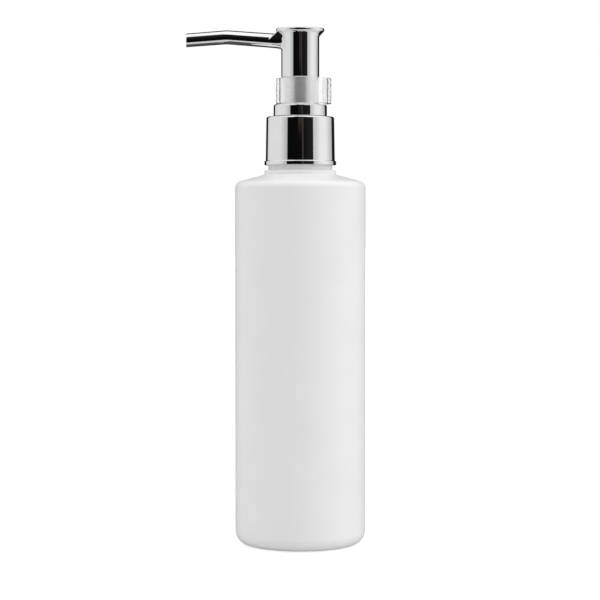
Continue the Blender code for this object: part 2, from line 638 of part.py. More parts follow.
def make_housing(group):
    flange_top = Z_FLANGE + FLANGE_THICKNESS
    seat_cone_height = (VALVE_CHAMBER_RADIUS - VALVE_SEAT_HOLE) / math.tan(SEAT_ANGLE)
    taper_bottom = Z_HOUSING_SHOULDER - HOUSING_TAPER
    outline = [(TUBE_SOCKET_BORE, Z_TUBE_SOCKET), (TUBE_SOCKET_RADIUS, Z_TUBE_SOCKET),
               (TUBE_SOCKET_RADIUS, Z_VALVE_MOUTH - HOUSING_TAPER),
               (CYLINDER_RADIUS, Z_VALVE_MOUTH), (CYLINDER_RADIUS, taper_bottom),
               (HOUSING_SLEEVE_RADIUS, Z_HOUSING_SHOULDER),
               (HOUSING_SLEEVE_RADIUS, Z_FLANGE), (FLANGE_RADIUS, Z_FLANGE),
               (FLANGE_RADIUS, flange_top), (HOUSING_SLEEVE_BORE, flange_top),
               (HOUSING_SLEEVE_BORE, Z_HOUSING_SHOULDER), (CYLINDER_BORE, Z_HOUSING_SHOULDER),
               (CYLINDER_BORE, Z_SPRING_LEDGE), (VALVE_MOUTH_RADIUS, Z_SPRING_LEDGE),
               (VALVE_MOUTH_RADIUS, Z_VALVE_MOUTH), (VALVE_CHAMBER_RADIUS, Z_VALVE_MOUTH),
               (VALVE_CHAMBER_RADIUS, Z_VALVE_SEAT + seat_cone_height),
               (VALVE_SEAT_HOLE, Z_VALVE_SEAT), (VALVE_SEAT_HOLE, Z_TUBE_SOCKET_TOP),
               (TUBE_SOCKET_BORE, Z_TUBE_SOCKET_TOP)]
    housing = place("housing", turned(outline, INNER_SIDES), natural_plastic("housing_plastic"), group)
    bm = bmesh.new()
    drill = Matrix.Translation((CYLINDER_BORE + CYLINDER_WALL / 2, 0.0, taper_bottom - VENT_BELOW_SHOULDER))
    bmesh.ops.create_cone(bm, cap_ends=True, segments=TUBE_SIDES, radius1=VENT_RADIUS, radius2=VENT_RADIUS,
                          depth=CYLINDER_WALL + CUT_OVERRUN,
                          matrix=drill @ Matrix.Rotation(math.radians(90.0), 4, "Y"))
    combine(housing, guide("vent_guide", bm), "DIFFERENCE")
    return housing


def make_ball(group):
    bm = bmesh.new()
    bmesh.ops.create_uvsphere(bm, u_segments=TUBE_SIDES, v_segments=TUBE_SIDES // 2, radius=BALL_RADIUS,
                              matrix=Matrix.Translation((0.0, 0.0, Z_BALL)))
    return place("ball", bm, steel("ball_steel"), group, (0.0, 0.0, Z_BALL))


def make_dip_tube(group):
    bottom = BASE_THICKNESS + TUBE_ABOVE_FLOOR
    top = Z_TUBE_SOCKET_TOP - SEAT_GAP
    outline = [(TUBE_BORE, bottom), (TUBE_RADIUS, bottom), (TUBE_RADIUS, top), (TUBE_BORE, top)]
    bm = turned(outline, TUBE_SIDES)
    for vert in bm.verts:
        if vert.co.z < (bottom + top) / 2:
            vert.co.z += (vert.co.x + TUBE_RADIUS) * math.tan(TUBE_END_SLOPE)
    return place("dip_tube", bm, natural_plastic("dip_tube_plastic"), group)


def make_spring(group):
    """An unbroken helix of wire between the housing's ledge and the rod's flange."""
    low = Z_SPRING_LEDGE + SEAT_GAP + SPRING_WIRE / 2
    high = Z_ROD_FLANGE - SEAT_GAP - SPRING_WIRE / 2
    count = int(round(SPRING_TURNS * SPRING_POINTS_PER_TURN))
    points = []
    for index in range(count + 1):
        share = index / count
        angle = math.tau * SPRING_TURNS * share
        points.append(Vector((SPRING_RADIUS * math.cos(angle), SPRING_RADIUS * math.sin(angle),
                              low + (high - low) * share)))
    apart = min((a - b).length for i, a in enumerate(points)
                for b in points[i + SPRING_POINTS_PER_TURN // 2:]) - SPRING_WIRE
    print(f"spring: least gap between turns {apart * 1000:.2f} mm")
    if apart <= SPRING_LEAST_GAP:
        print("spring: its turns are closer than they should be")
    wire = bpy.data.curves.new("spring", "CURVE")
    wire.dimensions = "3D"
    wire.bevel_depth = SPRING_WIRE / 2
    wire.bevel_resolution = 1
    wire.use_fill_caps = True
    spline = wire.splines.new("POLY")
    spline.points.add(count)
    for point, position in zip(spline.points, points):
        point.co = (*position, 1.0)
    wire.materials.append(steel("spring_steel"))
    spring = bpy.data.objects.new("spring", wire)
    bpy.context.collection.objects.link(spring)
    spring.parent = group
    spring.matrix_parent_inverse = group.matrix_world.inverted()
    return spring


def make_piston(group):
    outline = [(STEM_BORE, Z_PISTON), (PISTON_WAIST_RADIUS, Z_PISTON),
               (PISTON_LIP_RADIUS, Z_PISTON + PISTON_WAIST), (PISTON_LIP_RADIUS, Z_PISTON + PISTON_LIP),
               (PISTON_WAIST_RADIUS, Z_PISTON + PISTON_LIP + PISTON_WAIST),
               (PISTON_WAIST_RADIUS, Z_PISTON_TOP - PISTON_LIP - PISTON_WAIST),
               (PISTON_LIP_RADIUS, Z_PISTON_TOP - PISTON_LIP), (PISTON_LIP_RADIUS, Z_PISTON_TOP),
               (PISTON_STEM_BORE, Z_PISTON_TOP), (PISTON_STEM_BORE, Z_PISTON_SHOULDER),
               (STEM_BORE, Z_PISTON_SHOULDER)]
    return place("piston", turned(outline, INNER_SIDES), natural_plastic("piston_plastic"), group)


def make_piston_rod(group):
    top = Z_STEM + ROD_LENGTH_IN_STEM
    bottom = Z_ROD_FLANGE - ROD_SPIGOT_LENGTH
    outline = [(0.0, bottom), (ROD_SPIGOT_RADIUS, bottom), (ROD_SPIGOT_RADIUS, Z_ROD_FLANGE),
               (ROD_FLANGE_RADIUS, Z_ROD_FLANGE), (ROD_FLANGE_RADIUS, Z_ROD_FLANGE_TOP),
               (ROD_RADIUS, Z_ROD_FLANGE_TOP), (ROD_RADIUS, top), (0.0, top)]
    rod = place("piston_rod", turned(outline, INNER_SIDES), white_plastic("piston_rod_plastic"), group)
    for index in range(2):
        low = (ROD_RADIUS - ROD_FLUTE_DEPTH, -ROD_FLUTE_WIDTH / 2, Z_ROD_FLANGE_TOP + SEAT_GAP)
        high = (ROD_RADIUS + CUT_OVERRUN, ROD_FLUTE_WIDTH / 2, top + CUT_OVERRUN)
        bm = box(low, high)
        bmesh.ops.rotate(bm, verts=bm.verts, matrix=Matrix.Rotation(math.pi * index, 3, "Z"))
        combine(rod, guide(f"rod_flute_guide_{index + 1}", bm), "DIFFERENCE")
    return rod


def make_stem(group):
    outline = [(STEM_BORE, Z_STEM), (STEM_RADIUS, Z_STEM),
               (STEM_RADIUS, Z_STEM_TOP), (STEM_BORE, Z_STEM_TOP)]
    return place("stem", turned(outline, INNER_SIDES), white_plastic("stem_plastic"), group)


def make_sleeve(group):
    """Thin metal tube over the core's skirt, which slides into the ring as the head goes down."""
    outline = [(SLEEVE_BORE, Z_SLEEVE), (SLEEVE_RADIUS, Z_SLEEVE),
               (SLEEVE_RADIUS, Z_SLEEVE_TOP), (SLEEVE_BORE, Z_SLEEVE_TOP)]
    return place("sleeve", turned(outline), satin_metal("sleeve_metal"), group)


def make_actuator_core(group):
    """Skirt in the sleeve, rim under the head, socket for the stem, and the way up to the spout."""
    web = Z_CORE_SHOULDER + CORE_WEB_LIFT
    plug_top = Z_CORE_SHOULDER + CORE_PLUG_HEIGHT
    plug_radius = HEAD_BORE - SEAT_GAP
    top = Z_HEAD_ROOF - SEAT_GAP
    outline = [(0.0, top - CORE_ROOF), (CORE_BORE, top - CORE_ROOF), (CORE_BORE, Z_STEM_SOCKET_TOP),
               (STEM_SOCKET_RADIUS, Z_STEM_SOCKET_TOP), (STEM_SOCKET_RADIUS, Z_STEM_SOCKET),
               (CORE_TUBE_RADIUS, Z_STEM_SOCKET), (CORE_TUBE_RADIUS, web), (SKIRT_BORE, web),
               (SKIRT_BORE, Z_SLEEVE), (SKIRT_RADIUS, Z_SLEEVE), (SKIRT_RADIUS, Z_CORE_RIM),
               (SLEEVE_RADIUS, Z_CORE_RIM), (SLEEVE_RADIUS, Z_CORE_SHOULDER),
               (plug_radius, Z_CORE_SHOULDER), (plug_radius, plug_top), (CORE_TUBE_RADIUS, plug_top),
               (CORE_TUBE_RADIUS, top), (0.0, top)]
    plastic = natural_plastic("actuator_core_plastic")
    core = place("actuator_core", turned(outline, SMALL_SIDES), plastic, group)
    port = guide("core_port_guide", spout_rod(CORE_BORE / 2, CORE_TUBE_RADIUS + CUT_OVERRUN, SPOUT_BORE))
    combine(core, port, "DIFFERENCE")
    return core


def flare_radius(height):
    """Half length of the head's oval flare at a height."""
    return HEAD_RADIUS + HEAD_FLARE_OUT * (height - Z_FLARE) / HEAD_FLARE_HEIGHT


def oval(bm):
    """Narrow a turned shape to the width of the head's pad."""
    bmesh.ops.scale(bm, verts=bm.verts, vec=(1.0, HEAD_FLARE_HALF_WIDTH / HEAD_FLARE_RADIUS, 1.0))
    return bm


def make_pad():
    """Flared top of the head with its rounded lip, before the dish is cut."""
    lip_centre = HEAD_FLARE_RADIUS - HEAD_LIP_ROUND
    bottom = Z_FLARE - HEAD_EDGE
    undercut = math.degrees(HEAD_LIP_UNDERCUT)
    outline = [(0.0, bottom), (flare_radius(bottom), bottom)]
    outline += arc(lip_centre, Z_FLARE_TOP, HEAD_LIP_ROUND, -undercut, 90, FINE_CORNER_STEPS)
    return oval(turned(outline + [(0.0, Z_HEAD_TOP)]))


def make_dish():
    """What the dish takes out of the pad."""
    rim = HEAD_FLARE_RADIUS - HEAD_LIP_ROUND - HEAD_EDGE
    outline = []
    for index in range(FINE_CORNER_STEPS + 1):
        share = index / FINE_CORNER_STEPS
        outline.append((rim * share, Z_DISH + HEAD_DISH_DEPTH * share * share))
    above = Z_HEAD_TOP + CUT_OVERRUN
    return oval(turned(outline + [(rim, above), (0.0, above)]))


def make_gusset():
    """Flat web in the angle between the spout's top and the underside of the head's flare."""
    top = Z_FLARE_TOP - HEAD_LIP_ROUND
    outline = [(GUSSET_REACH, Z_SPOUT + spout_rise(GUSSET_REACH)), (flare_radius(top), top),
               (HEAD_BORE, top - HEAD_EDGE), (HEAD_BORE, Z_SPOUT + spout_rise(HEAD_BORE))]
    bm = bmesh.new()
    face = bm.faces.new([bm.verts.new((-reach, -GUSSET_HALF_WIDTH, height)) for reach, height in outline])
    raised = bmesh.ops.extrude_face_region(bm, geom=[face])
    moved = [item for item in raised["geom"] if isinstance(item, bmesh.types.BMVert)]
    bmesh.ops.translate(bm, verts=moved, vec=(0.0, 2 * GUSSET_HALF_WIDTH, 0.0))
    return bm


def make_actuator_head(group):
    """Bright shell with a dished top, its spout and the web under the flare, in one moulding."""
    outline = [(0.0, Z_HEAD), (HEAD_RADIUS - HEAD_EDGE, Z_HEAD), (HEAD_RADIUS, Z_HEAD + HEAD_EDGE),
               (HEAD_RADIUS, Z_FLARE_TOP), (0.0, Z_FLARE_TOP)]
    head = place("actuator_head", turned(outline), bright_plate("actuator_head_plate"), group,
                 (0.0, 0.0, Z_HEAD))
    below = Z_HEAD - CUT_OVERRUN
    hollow = turned([(0.0, below), (HEAD_BORE, below), (HEAD_BORE, Z_HEAD_ROOF), (0.0, Z_HEAD_ROOF)])
    spout = spout_rod(HEAD_BORE, SPOUT_REACH, SPOUT_RADIUS, SPOUT_ROOT_FLARE)
    bore = spout_rod(HEAD_BORE - CUT_OVERRUN, SPOUT_REACH + CUT_OVERRUN, SPOUT_BORE)
    combine(head, guide("pad_guide", make_pad()), "UNION")
    combine(head, guide("spout_guide", spout), "UNION")
    combine(head, guide("gusset_guide", make_gusset()), "UNION")
    combine(head, guide("dish_guide", make_dish()), "DIFFERENCE")
    combine(head, guide("hollow_guide", hollow), "DIFFERENCE")
    combine(head, guide("spout_bore_guide", bore), "DIFFERENCE")
    return head


def make_spout_liner(group):
    """Plastic tube that carries the lotion from the core to the tip."""
    bm = bmesh.new()
    start, end = CORE_BORE + SEAT_GAP, SPOUT_REACH - LINER_RECESS
    outer = spout_loops(bm, start, end, LINER_RADIUS)
    inner = spout_loops(bm, start, end, LINER_BORE)
    skin(bm, outer + inner[::-1], closed=True)
    return place("spout_liner", bm, natural_plastic("spout_liner_plastic"), group)


def make_lock_clip(group):
    """Clear C ring, closed at the front and open at the back, slack to one side of the sleeve."""
    low, high = Z_RING_TOP + SEAT_GAP, Z_HEAD - SEAT_GAP
    outside = CLIP_BORE + CLIP_WALL
    outline = [(CLIP_BORE, low), (outside, low), (outside, high), (CLIP_BORE, high)]
    bm = turned(outline, CLIP_STEPS, math.tau - CLIP_OPENING)
    back = math.radians(90.0) + CLIP_OPENING / 2
    bmesh.ops.rotate(bm, verts=bm.verts, matrix=Matrix.Rotation(back, 3, "Z"))
    bmesh.ops.translate(bm, verts=bm.verts, vec=(CLIP_OFFSET, 0.0, 0.0))
    clear = material("lock_clip_plastic", (0.93, 0.94, 0.94), 0.08, transmission=0.85)
    clip = place("lock_clip", bm, clear, group, (CLIP_OFFSET, 0.0, low))
    bevel = clip.modifiers.new("bevel", "BEVEL")
    bevel.width = CLIP_BEVEL
    bevel.segments = 1
    bevel.limit_method = "ANGLE"
    bevel.angle_limit = CLIP_BEVEL_ANGLE
    return clip


def main():
    clear_scene()
    make_bottle()
    pump = joint_frame("pump_frame", Z_LIP)
    closure = joint_frame("closure_frame", Z_LIP, pump)
    plunger = joint_frame("plunger_frame", Z_ROD_FLANGE, pump)
    head = joint_frame("head_frame", Z_HEAD, plunger)
    for make in (make_gasket, make_housing, make_chaplet, make_chaplet_ring, make_dip_tube, make_spring):
        make(pump)
    make_ball(pump)
    make_lock_clip(pump)
    make_closure(closure)
    make_closure_shell(closure)
    make_piston(plunger)
    make_piston_rod(plunger)
    make_stem(plunger)
    make_actuator_core(head)
    make_sleeve(head)
    make_actuator_head(head)
    make_spout_liner(head)


main()
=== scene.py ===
"""Lotion pump bottle: white bottle, bright metal-clad pump with a long spout, clear lock clip.

Metres, +Z up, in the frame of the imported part. The spout points along -X and the camera looks
along +Y.
"""

import math

import bpy
import numpy as np
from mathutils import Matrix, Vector


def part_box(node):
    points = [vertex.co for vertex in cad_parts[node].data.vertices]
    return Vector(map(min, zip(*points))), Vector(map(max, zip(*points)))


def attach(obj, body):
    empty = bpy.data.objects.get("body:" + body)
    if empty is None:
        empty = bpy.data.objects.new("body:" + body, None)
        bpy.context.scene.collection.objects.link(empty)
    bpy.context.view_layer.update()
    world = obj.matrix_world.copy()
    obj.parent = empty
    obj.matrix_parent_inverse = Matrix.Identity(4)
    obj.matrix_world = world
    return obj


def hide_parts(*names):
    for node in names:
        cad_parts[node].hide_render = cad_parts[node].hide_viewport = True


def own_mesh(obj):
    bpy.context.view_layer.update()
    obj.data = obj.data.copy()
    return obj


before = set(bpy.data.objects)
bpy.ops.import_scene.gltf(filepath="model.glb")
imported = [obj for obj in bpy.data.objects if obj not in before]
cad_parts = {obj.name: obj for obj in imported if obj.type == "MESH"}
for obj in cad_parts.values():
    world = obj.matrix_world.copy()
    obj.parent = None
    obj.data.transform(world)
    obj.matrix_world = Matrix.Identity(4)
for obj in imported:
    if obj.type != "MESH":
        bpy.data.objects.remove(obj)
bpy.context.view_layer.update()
MM = 0.001
STRAIGHT = 1e-4
TINY = 1e-9

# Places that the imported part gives, in millimetres
NODE = {name: (np.array(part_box(name)[0]) / MM, np.array(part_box(name)[1]) / MM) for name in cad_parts}
HEAD_BOTTOM = NODE["actuator_head"][0][2]
HEAD_TOP = NODE["actuator_head"][1][2]
SPOUT_REACH = -NODE["actuator_head"][0][0]
RING_LOW, RING_HIGH = NODE["chaplet_ring"][0][2], NODE["chaplet_ring"][1][2]
SHELL_LOW, SHELL_HIGH = NODE["closure_shell"][0][2], NODE["closure_shell"][1][2]
SLEEVE_LOW, SLEEVE_HIGH = NODE["sleeve"][0][2], NODE["sleeve"][1][2]
CLIP_LOW, CLIP_HIGH = NODE["lock_clip"][0][2], NODE["lock_clip"][1][2]
SPRING_LOW, SPRING_HIGH = NODE["spring"][0][2], NODE["spring"][1][2]
NECK_LIP = NODE["bottle"][1][2]


# Mesh building

def mesh_object(name, points, faces, normals=None):
    """A mesh from points in millimetres, with its exact normals where they are known."""
    mesh = bpy.data.meshes.new(name)
    mesh.from_pydata([tuple(p) for p in np.asarray(points) * MM], [], faces)
    mesh.validate()
    mesh.shade_smooth()
    if normals is not None:
        mesh.normals_split_custom_set_from_vertices([tuple(n) for n in normals])
    piece = bpy.data.objects.new(name, mesh)
    bpy.context.collection.objects.link(piece)
    return piece


def swept_quads(rows, count, wrap=False):
    """Quads between the rows of a closed section that is swept along a path, or round a circle.

    A section has count points. The quads face outwards where the points run with the left hand round
    the path.
    """
    quads = []
    for row in range(rows if wrap else rows - 1):
        a, b = row * count, (row + 1) % rows * count
        for index in range(count):
            after = (index + 1) % count
            quads.append((a + index, b + index, b + after, a + after))
    return quads


def end_caps(rows, count):
    """The first and the last row of such a sweep as two faces that look out of its ends."""
    return [tuple(range(count)), tuple(reversed(range((rows - 1) * count, rows * count)))]


def rounded_outline(corners):
    """Points and normals of a closed (radius, height) outline, from corners (r, z, fillet, steps).

    The corners run so that the solid lies on the left, and each fillet is tangent to both sides.
    """
    points, normals = [], []
    count = len(corners)
    for index, (r, z, fillet, steps) in enumerate(corners):
        here = np.array((r, z), float)
        before = np.array(corners[index - 1][:2], float)
        after = np.array(corners[(index + 1) % count][:2], float)
        came = (here - before) / np.linalg.norm(here - before)
        goes = (after - here) / np.linalg.norm(after - here)
        turn = math.atan2(came[0] * goes[1] - came[1] * goes[0], came @ goes)
        if abs(turn) < STRAIGHT:
            points.append(here)
            normals.append(np.array((came[1], -came[0])))
            continue
        reach = fillet * abs(math.tan(turn / 2))
        start = here - came * reach
        out = np.array((came[1], -came[0]))
        side = 1.0 if turn > 0 else -1.0
        centre = start - out * fillet * side
        for step in range(steps + 1):
            angle = turn * step / steps
            normal = np.array((out[0] * math.cos(angle) - out[1] * math.sin(angle),
                               out[0] * math.sin(angle) + out[1] * math.cos(angle)))
            points.append(centre + normal * fillet * side)
            normals.append(normal)
    return np.array(points), np.array(normals)


def lathe(name, corners, sides):
    """Turn a rounded outline round the Z axis."""
    outline, slopes = rounded_outline(corners)
    count = len(outline)
    angles = np.arange(sides) * math.tau / sides
    cos, sin = np.cos(angles)[:, None], np.sin(angles)[:, None]
    points = np.stack((cos * outline[:, 0], sin * outline[:, 0],
                       np.broadcast_to(outline[:, 1], (sides, count))), axis=-1).reshape(-1, 3)
    normals = np.stack((cos * slopes[:, 0], sin * slopes[:, 0],
                        np.broadcast_to(slopes[:, 1], (sides, count))), axis=-1).reshape(-1, 3)
    return mesh_object(name, points, swept_quads(sides, count, wrap=True), normals)


def surface_nets(field, low, high, cell):
    """Quads on the zero surface of a field, each vertex pulled onto it, with the field's own normals."""
    chunks, probe, least_slope, evenings, pull = 16, 0.01, 0.04, 4, 0.5
    axes = [np.arange(low[i], high[i] + cell, cell) for i in range(3)]
    grid = np.stack(np.meshgrid(*axes, indexing="ij"), axis=-1)
    values = np.concatenate([field(part.reshape(-1, 3)) for part in np.array_split(grid, chunks)])
    inside = values.reshape(grid.shape[:3]) < 0
    wide, deep, tall = (n - 1 for n in inside.shape)
    corners = np.zeros((wide, deep, tall), int)
    for i in (0, 1):
        for j in (0, 1):
            for k in (0, 1):
                corners += inside[i:wide + i, j:deep + j, k:tall + k]
    active = (corners > 0) & (corners < 8)
    number = -np.ones(active.shape, int)
    number[active] = np.arange(active.sum())
    points = np.array(low) + (np.argwhere(active) + 0.5) * cell
    faces = []
    for axis in range(3):
        second, third = (axis + 1) % 3, (axis + 2) % 3
        first = np.take(inside, range(inside.shape[axis] - 1), axis)
        following = np.take(inside, range(1, inside.shape[axis]), axis)
        where = np.argwhere(first != following)
        where = where[(where[:, second] > 0) & (where[:, third] > 0)]
        ring = []
        for b, c in ((-1, -1), (0, -1), (0, 0), (-1, 0)):
            at = where.copy()
            at[:, second] += b
            at[:, third] += c
            keep = np.minimum(at, np.array(active.shape) - 1)
            ring.append(number[keep[:, 0], keep[:, 1], keep[:, 2]])
        ring = np.stack(ring, axis=1)
        outward = first[where[:, 0], where[:, 1], where[:, 2]]
        ring[~outward] = ring[~outward][:, ::-1]
        faces.append(ring[(ring >= 0).all(axis=1)])
    faces = np.concatenate(faces)

    def gradient(at):
        parts = [(field(at + probe * axis) - field(at - probe * axis)) / (2 * probe) for axis in np.eye(3)]
        return np.stack(parts, axis=1)

    def settle(at, rounds):
        for _ in range(rounds):
            slope = gradient(at)
            at = at - slope * (field(at) / np.maximum((slope ** 2).sum(axis=1), least_slope))[:, None]
        return at

    points = settle(points, evenings)
    edges = np.concatenate([faces[:, [0, 1]], faces[:, [1, 2]], faces[:, [2, 3]], faces[:, [3, 0]]])
    for _ in range(evenings):
        total = np.zeros_like(points)
        share = np.zeros(len(points))
        for a, b in ((0, 1), (1, 0)):
            np.add.at(total, edges[:, a], points[edges[:, b]])
            np.add.at(share, edges[:, a], 1)
        smooth = total / np.maximum(share, 1)[:, None]
        points = settle(points + pull * (smooth - points), 2)
    slope = gradient(points)
    normals = slope / np.maximum(np.linalg.norm(slope, axis=1), TINY)[:, None]
    return points, faces, normals


def smooth_max(a, b, k):
    """The larger of two fields, with the edge between them rounded to about radius k."""
    h = np.maximum(k - np.abs(a - b), 0.0) / k
    return np.maximum(a, b) + h * h * k * 0.25


def smooth_min(a, b, k):
    """The smaller of two fields, with the edge between them rounded in the same way."""
    return -smooth_max(-a, -b, k)


# Materials

def graph(name):
    """A new material, its node tree's nodes and links, and its shader."""
    made = bpy.data.materials.new(name)
    made.use_nodes = True
    nodes, links = made.node_tree.nodes, made.node_tree.links
    return made, nodes, links, nodes["Principled BSDF"]


def object_coordinates(nodes, links, stretch=(1.0, 1.0, 1.0)):
    """The piece's own coordinates. A stretch under 1 draws a pattern out along that axis."""
    where = nodes.new("ShaderNodeTexCoord")
    mapping = nodes.new("ShaderNodeMapping")
    mapping.inputs["Scale"].default_value = stretch
    links.new(where.outputs["Object"], mapping.inputs["Vector"])
    return mapping.outputs["Vector"]


def noise(nodes, links, vector, scale, detail=3.0, roughness=0.5):
    """Noise with that many waves to the metre."""
    made = nodes.new("ShaderNodeTexNoise")
    made.inputs["Scale"].default_value = scale
    made.inputs["Detail"].default_value = detail
    made.inputs["Roughness"].default_value = roughness
    links.new(vector, made.inputs["Vector"])
    return made.outputs["Fac"]


def ramp(nodes, links, value, low, high, from_low=0.3, from_high=0.7):
    """Spread a noise over a range of values or of greys."""
    made = nodes.new("ShaderNodeMapRange")
    for key, number in (("From Min", from_low), ("From Max", from_high), ("To Min", low), ("To Max", high)):
        made.inputs[key].default_value = number
    links.new(value, made.inputs["Value"])
    return made.outputs["Result"]


def tint(nodes, links, value, low, high):
    """Fade between two colours."""
    made = nodes.new("ShaderNodeMix")
    made.data_type = "RGBA"
    made.inputs["A"].default_value = (*low, 1.0)
    made.inputs["B"].default_value = (*high, 1.0)
    links.new(value, made.inputs["Factor"])
    return made.outputs["Result"]


def bump(nodes, links, shader, value, distance, strength=1.0, under=None):
    """Raise the skin by a pattern, distance metres high, over another bump where one is given."""
    made = nodes.new("ShaderNodeBump")
    made.inputs["Distance"].default_value = distance
    made.inputs["Strength"].default_value = strength
    links.new(value, made.inputs["Height"])
    if under is not None:
        links.new(under, made.inputs["Normal"])
    links.new(made.outputs["Normal"], shader.inputs["Normal"])
    return made.outputs["Normal"]


def moulded_plastic(name, low, high, rough=(0.36, 0.46), transmission=0.0):
    """Plain moulded plastic: a faint cloudiness, a fine skin and slow waves from the mould."""
    made, nodes, links, shader = graph(name)
    where = object_coordinates(nodes, links)
    cloud = noise(nodes, links, where, 55.0, 4.0)
    links.new(tint(nodes, links, ramp(nodes, links, cloud, 0.0, 1.0), low, high), shader.inputs["Base Color"])
    links.new(ramp(nodes, links, noise(nodes, links, where, 420.0), *rough), shader.inputs["Roughness"])
    waves = bump(nodes, links, shader, noise(nodes, links, where, 90.0, 1.0), 0.00003, 0.5)
    bump(nodes, links, shader, noise(nodes, links, where, 2600.0, 2.0), 0.000004, 0.8, waves)
    shader.inputs["IOR"].default_value = 1.5
    shader.inputs["Transmission Weight"].default_value = transmission
    return made


def bright_plating(name, low, high, rough, wave=0.0000012):
    """Mirror-bright metal with slow waves and a very fine grain in its skin, and faint wiping marks."""
    made, nodes, links, shader = graph(name)
    where = object_coordinates(nodes, links)
    streaks = noise(nodes, links, object_coordinates(nodes, links, (1.0, 1.0, 0.12)), 1500.0, 3.0, 0.65)
    cloud = noise(nodes, links, where, 120.0, 3.0)
    links.new(tint(nodes, links, ramp(nodes, links, cloud, 0.0, 1.0), low, high), shader.inputs["Base Color"])
    links.new(ramp(nodes, links, streaks, *rough), shader.inputs["Roughness"])
    shader.inputs["Metallic"].default_value = 1.0
    waves = bump(nodes, links, shader, noise(nodes, links, where, 260.0, 1.0), wave, 1.0)
    bump(nodes, links, shader, noise(nodes, links, where, 5200.0, 2.0), 0.0000004, 0.6, waves)
    return made


def satin_metal(name):
    """Satin metal with the fine rings that its turning leaves."""
    made, nodes, links, shader = graph(name)
    rings = noise(nodes, links, object_coordinates(nodes, links, (0.02, 0.02, 1.0)), 9000.0, 2.0, 0.6)
    cloud = noise(nodes, links, object_coordinates(nodes, links), 150.0, 2.0)
    links.new(tint(nodes, links, ramp(nodes, links, cloud, 0.0, 1.0), (0.94, 0.94, 0.94), (0.97, 0.97, 0.97)),
              shader.inputs["Base Color"])
    links.new(ramp(nodes, links, rings, 0.27, 0.31), shader.inputs["Roughness"])
    shader.inputs["Metallic"].default_value = 1.0
    bump(nodes, links, shader, rings, 0.0000005, 0.5)
    return made


def clear_plastic(name):
    """Clear moulded plastic, nearly smooth, with slow flow waves and light handling marks."""
    made, nodes, links, shader = graph(name)
    where = object_coordinates(nodes, links)
    marks = noise(nodes, links, object_coordinates(nodes, links, (1.0, 1.0, 0.2)), 700.0, 3.0, 0.6)
    cloud = noise(nodes, links, where, 200.0, 2.0)
    links.new(tint(nodes, links, ramp(nodes, links, cloud, 0.0, 1.0), (0.985, 0.985, 0.985), (1.0, 1.0, 1.0)),
              shader.inputs["Base Color"])
    links.new(ramp(nodes, links, marks, 0.0, 0.012), shader.inputs["Roughness"])
    shader.inputs["Transmission Weight"].default_value = 0.95
    shader.inputs["Specular IOR Level"].default_value = 0.3
    shader.inputs["IOR"].default_value = 1.47
    bump(nodes, links, shader, noise(nodes, links, where, 60.0, 1.0), 0.000001, 0.4)
    return made


def drawn_steel(name):
    """Drawn or ground steel with fine marks."""
    made, nodes, links, shader = graph(name)
    where = object_coordinates(nodes, links)
    marks = noise(nodes, links, where, 3000.0, 3.0, 0.6)
    links.new(tint(nodes, links, ramp(nodes, links, marks, 0.0, 1.0), (0.52, 0.52, 0.54), (0.64, 0.64, 0.66)),
              shader.inputs["Base Color"])
    links.new(ramp(nodes, links, marks, 0.18, 0.34), shader.inputs["Roughness"])
    shader.inputs["Metallic"].default_value = 1.0
    bump(nodes, links, shader, marks, 0.000002, 0.5)
    return made


def closed_foam(name):
    """Closed-cell foam: small round cells that show as a pitted skin."""
    made, nodes, links, shader = graph(name)
    where = object_coordinates(nodes, links)
    cells = nodes.new("ShaderNodeTexVoronoi")
    cells.inputs["Scale"].default_value = 2800.0
    links.new(where, cells.inputs["Vector"])
    links.new(tint(nodes, links, ramp(nodes, links, cells.outputs["Distance"], 0.0, 1.0, 0.0, 0.8),
                   (0.82, 0.82, 0.81), (0.92, 0.92, 0.91)), shader.inputs["Base Color"])
    links.new(ramp(nodes, links, noise(nodes, links, where, 600.0), 0.7, 0.9), shader.inputs["Roughness"])
    bump(nodes, links, shader, cells.outputs["Distance"], 0.00004, 0.8)
    return made


BOTTLE_WHITE = moulded_plastic("bottle_plastic", (0.86, 0.86, 0.86), (0.885, 0.885, 0.885))
WHITE_PLASTIC = moulded_plastic("white_plastic", (0.84, 0.84, 0.84), (0.88, 0.88, 0.88), (0.34, 0.44))
NATURAL_PLASTIC = moulded_plastic("natural_plastic", (0.76, 0.77, 0.76), (0.82, 0.83, 0.82), (0.3, 0.42),
                                  transmission=0.25)
PLATED = bright_plating("bright_plating", (0.86, 0.86, 0.865), (0.89, 0.89, 0.895), (0.02, 0.05))
BRIGHT_METAL = bright_plating("bright_metal", (0.86, 0.86, 0.865), (0.89, 0.89, 0.895), (0.02, 0.055),
                              wave=0.0000018)
SATIN_METAL = satin_metal("satin_metal")
CLEAR_PLASTIC = clear_plastic("clear_plastic")
STEEL = drawn_steel("steel")
FOAM = closed_foam("foam")


def finish_piece(piece, made, body, slot, *nodes):
    """Give a piece its material, the body that it moves with, and the CAD nodes that it stands for."""
    piece.data.materials.clear()
    piece.data.materials.append(made)
    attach(piece, body)
    if nodes:
        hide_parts(*nodes)
    return piece


# Bottle

NECK_RADIUS = 10.9


